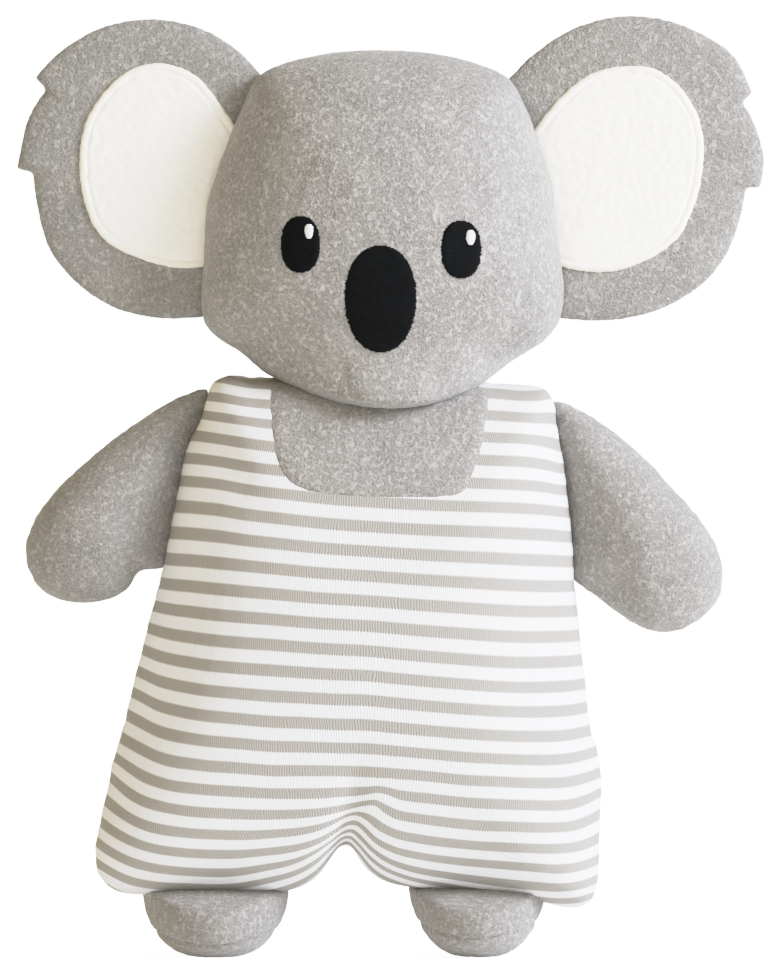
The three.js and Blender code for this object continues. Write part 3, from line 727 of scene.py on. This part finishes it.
# %% Stripe and rib numbers
side_round = 20 * mm
stripe_lines = {
    -5: [(205, 382), (222, 383), (236, 386), (247, 388), (270, 389.5), (380, 394), (495, 399), (520, 401),
         (540, 401), (552, 399)],
    -3: [(195, 418), (220, 422), (245, 425.5), (270, 429), (380, 436), (495, 443), (520, 444), (545, 447.5),
         (562, 453)],
    0: [(176, 486), (202, 488), (220, 490), (245, 495), (285, 500), (330, 505), (380, 508.5), (430, 511),
        (495, 513), (530, 514.5), (550, 516), (576, 519)],
    3: [(155, 564), (174, 566), (190, 567), (222, 570), (254, 573), (286, 576), (318, 579), (350, 581),
        (382, 583), (414, 585.5), (446, 587.5), (478, 589.5), (510, 591.5), (542, 592.5), (574, 592),
        (590, 590)],
    6: [(130, 627), (142, 631), (158, 637), (174, 641), (190, 643.5), (206, 646), (238, 649), (270, 651),
        (302, 653.5), (334, 655.5), (366, 657), (398, 660), (430, 663), (462, 665.5), (494, 668), (526, 669),
        (558, 668), (574, 667), (592, 664)],
    9: [(116, 687), (126, 694), (142, 703), (158, 711.5), (174, 716), (190, 719.5), (206, 722), (238, 725),
        (270, 728), (302, 729), (334, 730.5), (366, 731), (398, 734), (430, 737), (462, 739.5), (494, 741.5),
        (526, 742.5), (558, 742), (574, 740), (590, 736), (600, 732)],
    11: [(104, 733), (126, 747), (142, 756), (158, 763.5), (174, 768), (190, 770), (206, 772), (238, 774),
         (270, 776.5), (302, 776.5), (334, 776.5), (366, 777.5), (398, 779.5), (430, 782), (462, 785.5),
         (494, 787), (526, 788.5), (558, 788.5), (574, 786.5), (590, 782), (602, 777)],
    12: [(100, 750), (126, 771), (142, 782), (158, 788), (174, 792), (206, 795.5), (238, 797.5), (270, 799),
         (300, 799.3), (320, 799), (345, 797), (367, 795), (377, 793), (388, 795), (400, 800), (430, 804),
         (462, 807.5), (494, 809.5), (526, 810.5), (558, 811), (574, 809), (590, 803), (602, 796)],
    13: [(100, 772), (113, 785), (127, 798), (142, 806.5), (158, 811.5), (190, 817), (222, 819), (254, 820),
         (286, 819.5), (307, 818), (332, 814.5), (350, 809.5), (367, 805.5), (376, 806), (383, 812),
         (395, 819), (420, 824), (450, 828), (478, 831), (510, 832), (542, 833), (574, 831), (590, 825),
         (602, 818)],
    14: [(97, 798), (109, 810), (127, 822.5), (142, 830), (158, 834.5), (190, 838.5), (222, 840), (254, 840),
         (277, 838), (300, 835.5), (320, 830.5), (335, 823.5), (347, 817), (357, 815.5), (367, 821),
         (377, 830), (395, 838.5), (420, 844), (450, 848), (485, 851), (520, 853), (555, 854), (579, 851.5),
         (592, 847), (602, 841)],
    15: [(94, 821), (106, 832), (127, 844.5), (152, 853), (184, 857.5), (231, 859), (262, 856.5), (295, 852),
         (320, 843.5), (337, 832.5), (347, 826), (356, 825.5), (364, 832), (375, 843.5), (395, 854),
         (420, 860), (450, 864.5), (486, 868), (533, 872), (560, 874), (579, 871.5), (595, 866),
         (602, 862)],
    16: [(93, 843), (101, 851), (127, 865.5), (152, 872.5), (184, 876), (231, 877), (262, 872), (295, 864),
         (315, 854), (332, 842), (342, 834.5), (351, 832.5), (358, 838), (370, 850.5), (385, 862),
         (410, 872), (450, 879.5), (486, 885), (533, 890.5), (560, 892), (579, 890), (595, 884.5),
         (602, 881)],
    17: [(92, 864), (102, 871), (127, 884), (152, 889), (184, 890), (231, 890), (262, 885), (295, 876),
         (315, 865), (330, 851), (341, 840.5), (349, 838.5), (357, 845), (370, 860), (382, 869.5),
         (400, 877.5), (420, 883), (450, 888), (486, 894), (533, 901), (560, 904), (579, 903), (595, 898)],
}
picture_middle = on_plane([(photo_width / 2, photo_height / 2)])[0]


def seen_at(piece):
    """Where the camera sees a piece's points on the seam plane, with the back as a mirror of the front."""
    x, y, z = places(piece).T
    nearer = (camera_distance - abs(y - seam)) / camera_distance
    across, up = picture_middle
    return across + (x - across) / nearer, up + (z - up) / nearer


def stripe_at(x, z):
    numbers = np.array(list(stripe_lines))
    levels = np.stack([np.interp(x, *smooth_run(points).T) for points in stripe_lines.values()])
    below = np.clip((levels > z).sum(axis=0), 1, len(numbers) - 1)
    upper, lower = (np.take_along_axis(levels, row[None], 0)[0] for row in (below - 1, below))
    share = (upper - z) / (upper - lower)
    return numbers[below - 1] + share * (numbers[below] - numbers[below - 1])


def write_attribute(piece, name, values):
    piece.data.attributes.new(name, "FLOAT", "POINT").data.foreach_set("value", values.astype(np.float32))


def lay_jersey(piece):
    x, y, _ = places(piece).T
    stripes = stripe_at(*seen_at(piece))
    write_attribute(piece, "stripe", stripes)
    from_middle = x - body_heart[0]
    round_the_side = np.tanh(from_middle / side_round) * (belly_depth - abs(y - seam))
    write_attribute(piece, "rib", (from_middle + round_the_side) / rib_width)
    print(f"{piece.name}: stripes {stripes.min():.1f} to {stripes.max():.1f}")


lay_jersey(romper)

# %% [markdown]
# ## Pieces laid on a form
# The chest, the yoke, the ear linings and the stitched face all lie on cloth that is already there. Each is
# a ball drawn out to its outline and laid on its carrier: one half shows, and the other half is sunk below
# the surface, so no edge stands free. A ray from the front finds the carrier, or one from behind for the
# yoke.

# %% Laying a piece on its carrier
def surface_of(piece):
    return BVHTree.FromPolygons(
        [tuple(co) for co in places(piece)], [tuple(face.vertices) for face in piece.data.polygons]
    )


far = 1.0
patch_ball = unit_ball(spokes=160, rings=96)


def carrier_depth(tree, x, z, outward=-1):
    hit = tree.ray_cast(Vector((x, outward * far, z)), Vector((0, -outward, 0)))[0]
    return seam if hit is None else hit.y


def laid_on(tree, height, sunk, outward=-1):
    def swelling(x, z, share, turn, front):
        surface = np.array([carrier_depth(tree, *at, outward) for at in zip(x, z)])
        return surface + outward * np.where(front, height(x, z, share), -sunk)
    return swelling


romper_surface = surface_of(romper)
belly = seam - carrier_depth(romper_surface, *body_heart)
print("at its heart the romper stands", round(belly / mm, 1), "mm in front of its seams")

# %% [markdown]
# ## Chest and back yoke
# The chest is fleece let into the jersey. Its edge is sewn under, so the panel swells a little and dives
# into the seam all round. The yoke behind is the same cloth. It can't be seen in the photograph and keeps to
# the chest's line.

# %% Chest panel and yoke
neckline = [(489, 392), (478, 385), (380, 380.5), (281, 379), (270, 385)]
chest_edge = outline(
    [(270, 385), (269.5, 394), (270, 413), (275, 452), (282, 472), (293, 485), (315, 493), (348, 496.5),
     (390, 498), (447, 497), (465, 492), (472, 477), (479, 458), (485, 433), (489, 410), (489, 392)],
    neckline,
)
yoke_edge = outline(
    [(270, 385), (271, 397), (277, 411), (292, 421), (380, 424), (466, 421), (482, 411), (488, 400),
     (489, 392)],
    neckline,
)
panel_swell, panel_dive, panel_sunk = 0.9 * mm, 0.5 * mm, 1.5 * mm
panel_flatness = 24


def let_in(name, edge, heart, outward, node_name):
    def height(x, z, share):
        at_the_edge = share ** panel_flatness
        return panel_swell * (1 - at_the_edge) - panel_dive * at_the_edge
    swelling = laid_on(romper_surface, height, panel_sunk, outward)
    panel = drawn_ball(name, edge, heart, swelling, patch_ball)
    if outward > 0:
        panel.data.flip_normals()
    raise_nap(panel)
    return dress(panel, head_fleece, "chest_fleece", node_name)


chest = let_in("chest_fleece_panel", chest_edge, on_plane([(380, 430)])[0], -1, "chest_panel")
yoke = let_in("yoke_fleece_panel", yoke_edge, on_plane([(380, 396)])[0], 1, "back_yoke")
print("panels let into the romper:", chest.name, "and", yoke.name)

# %% [markdown]
# ## Ears
# Each ear is a flat padded disc whose outer edge has two points of cloth, like tufts. Its root is tucked
# into the seam at the side of the head. The tufts are too sharp for a cloth run, so the disc is drawn
# straight from its outline and evened out with small faces.

# %% Ear outlines and forms
ear_runs = {
    "left": (
        [(262, 75), (253, 64), (241, 52), (225, 40), (205, 29), (178, 21), (150, 18), (122, 21), (98, 28),
         (75, 40), (57, 53), (44, 66), (33.5, 78.5)],
        [(33.5, 78.5), (46, 88.5)],
        [(46, 88.5), (35, 104), (26, 122), (21, 142), (16, 169)],
        [(16, 169), (32, 172)],
        [(32, 172), (36, 204), (48, 248), (72, 280), (110, 307), (155, 319), (203, 319)],
        [(203, 319), (214, 300), (216, 260), (219, 210), (232, 165), (252, 120), (270, 84)],
        [(270, 84), (262, 75)],
    ),
    "right": (
        [(502, 84), (520, 120), (534, 165), (544, 205), (550, 262), (552, 300), (556, 319)],
        [(556, 319), (590, 322), (629, 319), (666, 308), (704, 284), (726, 257), (741, 219), (747, 187)],
        [(747, 187), (761, 188)],
        [(761, 188), (765, 162), (761, 140), (752, 116), (742, 101)],
        [(742, 101), (754, 93)],
        [(754, 93), (734, 55), (704, 34), (666, 19), (630, 15), (603, 18), (566, 31), (530, 56), (508, 78)],
        [(508, 78), (502, 84)],
    ),
}
ear_hearts = {"left": (150, 170), "right": (625, 170)}
ear_depth, ear_blunt = 5 * mm, 3.2
ear_ball = unit_ball(spokes=540, rings=24)
ears = {}
for side, runs in ear_runs.items():
    heart = on_plane([ear_hearts[side]])[0]
    ear_form = cushion(ear_depth, ear_depth, lambda turn: ear_blunt)
    ear = drawn_ball(f"ear_{side}", outline(*runs), heart, ear_form, ear_ball)
    even_faces(ear, size=0.9 * mm)
    pull_seam(ear, depth=0.5 * mm, width=0.9 * mm, from_seam=places(ear)[:, 1] - seam)
    raise_nap(ear)
    parts = (f"ear_front_{side}", f"ear_back_{side}", f"ear_wadding_{side}")
    ears[side] = dress(ear, ear_fleece, "ear_fleece", *parts)
    print(ear.name, "has", len(ear.data.polygons), "faces")

# %% [markdown]
# ## Ear linings
# A white cloth is stitched to the front of each ear. A line of stitches runs just inside its rim and pulls
# the cloth down, so the rim outside the stitches stands up as a small roll. Beside the head the cloth goes
# into the same seam as the ear, so its outline runs on a little way behind the head's edge.

# %% Lining outlines and forms
lining_runs = {
    "left": (
        [(242, 136), (234, 124), (217, 100), (194, 75), (162, 64), (134, 69), (110, 87), (87, 120),
         (80, 160), (83, 194), (93, 224), (107, 242), (140, 259), (175, 268), (199, 268), (211, 266)],
        [(211, 266), (212, 250), (217, 200), (228, 165), (242, 136)],
    ),
    "right": (
        [(549, 264), (561, 267), (583, 271.5), (615, 271), (653, 257), (678, 237), (696, 199), (703, 155),
         (700, 125), (683, 92), (655, 70), (625, 67), (590, 75), (563, 95), (534, 130), (526, 141)],
        [(526, 141), (532, 154), (540, 180), (546, 224), (549, 264)],
    ),
}
lining_hearts = {"left": (150, 168), "right": (625, 168)}
fray, fray_length = 0.35 * mm, 1.6 * mm
roll_height, roll_width = 1.3 * mm, 0.35 * mm
stitch_inset, stitch_dip, stitch_width = 2.8 * mm, 0.35 * mm, 0.5 * mm
lining_sunk, lining_nap, rim_start = 0.6 * mm, 0.15 * mm, 1.2


def frayed(edge, heart):
    """The cut edge isn't quite even: it steps in and out by a thread or two."""
    steps = np.array([noise.noise(Vector((x, 0, z)) / fray_length) for x, z in edge])
    return edge + fray * steps[:, None] * (edge - heart) / np.linalg.norm(edge - heart, axis=1)[:, None]


linings = {}
for side, runs in lining_runs.items():
    heart = on_plane([lining_hearts[side]])[0]
    edge = frayed(outline(*runs), heart)
    reach = reach_of(edge, heart)

    def from_rim(x, z, heart=heart, reach=reach):
        return reach(np.arctan2(z - heart[1], x - heart[0])) - np.hypot(x - heart[0], z - heart[1])

    def height(x, z, share, from_rim=from_rim):
        inside = from_rim(x, z)
        roll = roll_height * (1 - np.exp(-np.maximum(inside, 0) / roll_width))
        return roll - stitch_dip * np.exp(-(((inside - stitch_inset) / stitch_width) ** 2))

    lining_form = laid_on(surface_of(ears[side]), height, lining_sunk)
    lining = drawn_ball(f"ear_lining_{side}_cloth", edge, heart, lining_form, patch_ball)
    x, _, z = places(lining).T
    write_attribute(lining, "rim", np.clip(rim_start - from_rim(x, z) / stitch_inset, 0, 1))
    raise_nap(lining, lining_nap)
    linings[side] = dress(lining, lining_white, "lining_fleece", f"ear_lining_{side}")
print("linings laid on", sorted(linings))

# %% [markdown]
# ## Arms
# Each arm is a curved mitten shape, sewn flat into the side seam of the romper. It is thick at the paw and
# thins towards its root, and the stitches press it thinner still, so that it comes out from behind the
# romper's edge with a dark line of shadow.

# %% Arm outlines and forms
arm_runs = {
    "left": (
        [(213, 384), (195, 389), (170, 400), (133, 424), (98, 451), (62, 484), (38, 513), (27, 539),
         (25, 553), (28, 569), (38, 587), (59, 600), (84, 604), (107, 600), (126, 592), (134, 580),
         (136, 571), (141, 568), (152, 571), (171, 569)],
        [(171, 569), (181, 530), (191, 490), (204, 440), (213, 384)],
    ),
    "right": (
        [(563, 577), (575, 585), (596, 598), (625, 619), (650, 631), (664, 633), (687, 627), (708, 613),
         (720, 594), (723, 571), (717, 547), (700, 519), (671, 486), (643, 456), (615, 432), (584, 411),
         (546, 393)],
        [(546, 393), (550, 440), (557, 490), (561, 540), (563, 577)],
    ),
}
arm_hearts = {"left": (105, 520), "right": (645, 545)}
arm_depth, paw_blunt, root_blunt = 16 * mm, 2.3, 1.3
root_thinning, root_width = 0.55, 6 * mm
arms = {}
for side, runs in arm_runs.items():
    sign = -1 if side == "left" else 1

    def arm_blunt(turn, sign=sign):
        return paw_blunt - (paw_blunt - root_blunt) * np.maximum(0, -sign * np.cos(turn))

    arm_form = cushion(arm_depth, arm_depth, arm_blunt)
    arm = drawn_ball(f"arm_{side}", outline(*runs), on_plane([arm_hearts[side]])[0], arm_form)
    even_faces(arm, size=2.6 * mm)
    stuff(arm, pressure=3, cap=2.5 * mm, held_width=2 * mm, slack=0.004)
    subdivide(arm, 1)
    root = smooth_run(runs[1])
    root = root[np.argsort(root[:, 1])]
    co = places(arm)
    from_root = co[:, 0] - np.interp(co[:, 2], root[:, 1], root[:, 0])
    co[:, 1] -= (co[:, 1] - seam) * root_thinning * np.exp(-((from_root / root_width) ** 2))
    set_places(arm, co)
    side_puckers(arm, height=0.4 * mm, length=4 * mm, width=6 * mm)
    pull_seam(arm, depth=0.5 * mm, width=0.9 * mm, from_seam=places(arm)[:, 1] - seam)
    raise_nap(arm)
    parts = (f"arm_front_{side}", f"arm_back_{side}", f"arm_filling_{side}")
    arms[side] = dress(arm, limb_fleece, "limb_fleece", *parts)
    print(arm.name, "has", len(arm.data.polygons), "faces")

# %% [markdown]
# ## Feet
# A foot is a small boot: a rounded upper on an oval sole, with the toe further out than the heel. Seen from
# above it is an egg, so the ball is drawn out to a level outline here, and its two halves are the instep and
# the sole. The sole is pressed flat where the toy stands, and its seam dips at the toe.

# %% Boot forms
toe_reach, heel_reach, toe_drop = 33 * mm, 25 * mm, 9 * mm
instep_height, instep_rise, sole_press = 24 * mm, 2 * mm, 0.5 * mm
boot_spokes, toe_extra = 240, 1.6
sole_seam_depth, sole_seam_width, sole_seam_rise, side_softening = 1.1 * mm, 0.75 * mm, 6.5 * mm, 0.7
foot_shapes = {"left": (25.6 * mm, 2.2, 4.6 * mm), "right": (24 * mm, 1.9, 7.2 * mm)}
feet = {}
for side, (foot_half_width, roundness, seam_level) in foot_shapes.items():
    ankle = Vector(joints[f"foot_tilt_{side}"]["pos_m"])
    turns = np.linspace(-math.pi, math.pi, boot_spokes, endpoint=False)
    lengths = np.where(np.sin(turns) < 0, toe_reach, heel_reach)
    edge = np.column_stack((ankle.x + foot_half_width * np.cos(turns), seam + lengths * np.sin(turns)))

    def boot(x, along, share, turn, top, roundness=roundness):
        blunt = roundness + toe_extra * np.sin(turn) ** 2
        level = instep_height - toe_drop * np.clip((seam - along) / toe_reach, 0, 1) ** 2
        rise, drop = swell(share, instep_rise, blunt), swell(share, level + sole_press, blunt)
        return np.maximum(level + np.where(top, rise, -drop), 0)

    foot = drawn_ball(f"foot_{side}", edge, np.array((ankle.x, seam)), boot)
    x, up, along = places(foot).T
    set_places(foot, np.column_stack((x, along, up)))
    foot.data.flip_normals()
    even_faces(foot, size=1.2 * mm)
    subdivide(foot, 1)
    co = places(foot)
    sideways = ((co[:, 0] - ankle.x) / foot_half_width) ** 2
    seam_depth = sole_seam_depth * (1 - side_softening * sideways)
    pull_seam(foot, seam_depth, sole_seam_width, co[:, 2] - seam_level - sole_seam_rise * sideways)
    raise_nap(foot)
    co = places(foot)
    co[:, 2] = np.maximum(co[:, 2], 0)
    set_places(foot, co)
    parts = (f"foot_upper_{side}", f"foot_sole_{side}", f"foot_filling_{side}")
    feet[side] = dress(foot, limb_fleece, "limb_fleece", *parts)
    print(foot.name, "has", len(foot.data.polygons), "faces")

# %% [markdown]
# ## Embroidered face
# The eyes and the nose are filled with level rows of thread, and the rows' ends make the ragged edge that
# the photograph shows. Each row is a real strand: it lies on the fleece, dips into it now and then where the
# needle went through, and ends under the surface. Each strand is a curve with a bevel, turned into a mesh.

# %% Strands of thread
strand_pitch, strand_radius = 0.42 * mm, 0.3 * mm
strand_step, strand_lift, strand_sunk = 0.9 * mm, 0.75 * mm, 0.35 * mm
raggedness, ragged_share, ragged_change, own_pattern = 0.45 * mm, 0.09, 0.9, 100
needle_spacing, needle_change, needle_pattern, needle_dip = 2.4 * mm, 0.8, 3, 0.35
end_sharpness, first_guess = 10, 42 * mm


def embroider(name, centre, size, tree, material, slot, node_name, squareness=2.3, lift=0, taper=0.0):
    depth = seam - carrier_depth(tree, *facing(*centre, first_guess))
    centre_x, centre_z = facing(*centre, depth)
    half_width, half_height = (
        length * pixel * (camera_distance - depth) / camera_distance / 2 for length in size
    )
    drawing = bpy.data.curves.new(name, "CURVE")
    drawing.dimensions = "3D"
    drawing.bevel_depth = strand_radius
    drawing.bevel_resolution = 1
    drawing.use_fill_caps = True
    count = round(2 * half_height / strand_pitch)
    for row in range(count):
        level = (row + 0.5) / count * 2 - 1
        ragged = noise.noise(Vector((row * ragged_change, centre_x * own_pattern, 0)))
        uneven = min(raggedness, ragged_share * half_width) * ragged
        half = half_width * (1 - abs(level) ** squareness) ** (1 / squareness) * (1 + taper * level) + uneven
        if half < strand_radius:
            continue
        steps = max(4, round(2 * half / strand_step))
        strand = drawing.splines.new("POLY")
        strand.points.add(steps)
        for index, point in enumerate(strand.points):
            along = index / steps * 2 - 1
            x, z = centre_x + along * half, centre_z + level * half_height
            ends = 1 - abs(along) ** end_sharpness
            stab = noise.noise(Vector((x / needle_spacing, row * needle_change, needle_pattern)))
            raised = strand_lift * (ends - max(0, stab) * needle_dip)
            y = carrier_depth(tree, x, z) - lift - raised + strand_sunk
            point.co = (x, y, z, 1)
    sewn = new_piece(name, drawing)
    mesh = bpy.data.meshes.new_from_object(sewn.evaluated_get(bpy.context.evaluated_depsgraph_get()))
    bpy.data.objects.remove(sewn)
    print(name, "has", len(mesh.polygons), "faces")
    return dress(new_piece(name, mesh), material, slot, node_name)


face = surface_of(head)
nose = embroider("nose_stitches", (380.5, 299), (73, 106), face, black_thread, "black_thread", "nose",
                 squareness=2.15, taper=0.03)
eyes = {"left": ((300.5, 244.5), (40, 56)), "right": ((461, 249.5), (41, 57))}
glints = {"left": ((309, 231.5), (9.5, 14)), "right": ((470.5, 237.5), (9.5, 14.5))}
sewn_eyes = []
for side in ("left", "right"):
    sewn_eyes += [
        embroider(f"eye_{side}_stitches", *eyes[side], face, black_thread, "black_thread", f"eye_{side}"),
        embroider(f"glint_{side}_stitches", *glints[side], face, white_thread, "white_thread",
                  f"eye_glint_{side}", lift=0.55 * mm, squareness=2.2, taper=0.12),
    ]

# %% [markdown]
# ## How the cloth follows the joints
# Where a limb is sewn on, its cloth bends instead of turning as one stiff piece. Each soft form is blended
# from the body it is sewn to into the body that moves, over a short stretch either side of its hinge.

# %% Riding, blending and padding
below_neck, above_neck, below_ankle = 8 * mm, 14 * mm, 10 * mm
ear_bend, arm_bend = (5 * mm, 12 * mm), (4 * mm, 14 * mm)


def along_limb(joint_name, sign, reaches):
    """Places before and after a side hinge, square to its line and away from the middle of the toy."""
    hinge = Vector(joints[joint_name]["pos_m"])
    across = Vector(joints[joint_name]["axis"]).cross(Vector((0, 1, 0))).normalized()
    outward = across if across.x * sign > 0 else -across
    return hinge - outward * reaches[0], hinge + outward * reaches[1]


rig.ride(romper, "torso")
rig.ride(chest, "torso")
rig.ride(yoke, "torso")
for stitches in sewn_eyes:
    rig.ride(stitches, "head")
chin_start, chin_end = neck - Vector((0, 0, below_neck)), neck + Vector((0, 0, above_neck))
for piece in (head, nose):
    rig.blend(piece, "torso", "head", start=chin_start, end=chin_end)
for side, sign in (("left", -1), ("right", 1)):
    before, after = along_limb(f"ear_fold_{side}", sign, ear_bend)
    for piece in (ears[side], linings[side]):
        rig.blend(piece, "head", f"ear_{side}", start=before, end=after)
    before, after = along_limb(f"arm_swing_{side}", sign, arm_bend)
    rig.blend(arms[side], "torso", f"arm_{side}", start=before, end=after)
    ankle = Vector(joints[f"foot_tilt_{side}"]["pos_m"])
    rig.blend(feet[side], "torso", f"foot_{side}", start=ankle, end=ankle - Vector((0, 0, below_ankle)))
padded_forms = (head, romper, *ears.values(), *arms.values(), *feet.values())
for piece in padded_forms:
    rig.padded(piece, fill=0.7)
print("padded forms:", [piece.name for piece in padded_forms])

# %% [markdown]
# ## Floor, light and camera
# The photograph has a pure white ground and soft light that is cooler and stronger on the viewer's right.
# The world is a white sheet to the camera, but it lights the toy warm and weakly from the left and cool and
# brightly from the right, and a large soft window stands on the right. The film curve bends over near white,
# as in the photograph, so white cloth keeps its folds. The camera stands far off with a long lens, level
# with the middle of the picture.

# %% Film curve
film_points = ((0.3, 0.3), (0.6, 0.6), (0.8, 0.735), (1.27, 0.87), (1.92, 0.955))
view = bpy.context.scene.view_settings
view.view_transform = "Standard"
view.use_curve_mapping = True
film = view.curve_mapping
film.clip_max_x = full_white = 2.4
film.curves[3].points[-1].location = (full_white, 1)
for light_in, light_out in film_points:
    film.curves[3].points.new(light_in, light_out)
for point in film.curves[3].points:
    point.handle_type = "AUTO_CLAMPED"
film.update()
print("film curve:", [tuple(round(value, 2) for value in point.location) for point in film.curves[3].points])

# %% Stage
floor_gap = 0.2 * mm
glow, shown = 0.28, 2.0
warm_left, cool_right = (0.5, 0.34, 0.06, 1), (0.8, 0.9, 1.0, 1)
toy_middle = Vector((0, 0, 0.17))

sheet = bmesh.new()
bmesh.ops.create_grid(sheet, x_segments=1, y_segments=1, size=30)
floor_mesh = bpy.data.meshes.new("floor")
sheet.to_mesh(floor_mesh)
sheet.free()
floor = new_piece("floor", floor_mesh)
floor.location.z = -floor_gap
paper, paper_tree, paper_shader = new_material(
    "white ground", Base_Color=(0.88, 0.88, 0.88, 1), Roughness=1.0, Emission_Color=(1, 1, 1, 1)
)
seen = node(paper_tree, "LightPath").outputs["Is Camera Ray"]
brightness = maths(paper_tree, "MULTIPLY_ADD", seen, shown - glow, glow)
join(paper_tree, brightness, paper_shader.inputs["Emission Strength"])
floor.data.materials.append(paper)
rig.stage(floor)

world = bpy.data.worlds.new("white studio")
world.use_nodes = True
studio = world.node_tree
seen = node(studio, "LightPath").outputs["Is Camera Ray"]
direction = node(studio, "SeparateXYZ", {0: node(studio, "TexCoord").outputs["Generated"]}).outputs[0]
walls = mix_colours(studio, band(studio, direction, -1, 1), warm_left, cool_right)
white_sheet = (full_white, full_white, full_white, 1)
join(studio, mix_colours(studio, seen, walls, white_sheet), studio.nodes["Background"].inputs["Color"])
bpy.context.scene.world = world


def soft_light(name, at, size, watts, colour):
    lamp = bpy.data.lights.new(name, "AREA")
    lamp.size, lamp.energy, lamp.color = size, watts, colour
    light = new_piece(name, lamp)
    light.location = at
    light.rotation_euler = (toy_middle - Vector(at)).to_track_quat("-Z", "Y").to_euler()
    print(name, "gives", watts, "W from", at)


soft_light("window on the right", at=(1.22, -0.62, 0.82), size=0.6, watts=29, colour=(0.955, 0.99, 1.15))
soft_light("fill from the front", at=(-0.1, -2.0, 0.9), size=1.2, watts=3, colour=(1.0, 0.95, 0.86))

# %% Camera
quarter_turn = math.pi / 2
lens_view = photo_height * pixel
camera_data = bpy.data.cameras.new("camera")
camera_data.lens = camera_data.sensor_width * camera_distance / lens_view
camera = new_piece("camera", camera_data)
camera.location = (picture_middle[0], seam - camera_distance, picture_middle[1])
camera.rotation_euler = (quarter_turn, 0, 0)
bpy.context.scene.camera = camera
print("lens", round(camera_data.lens), "mm at", camera_distance, "m")

# %% [markdown]
# ## Size against the solid model
# The dressed toy has to stay the size of the solid one, so both boxes are written out for comparison.

# %% Boxes
visual_box = [list(corner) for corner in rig.bounds()]
with open("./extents.json", "w") as kept:
    json.dump({"solid": cad_box, "visual": visual_box}, kept)
print("dressed model's box in metres:", visual_box)
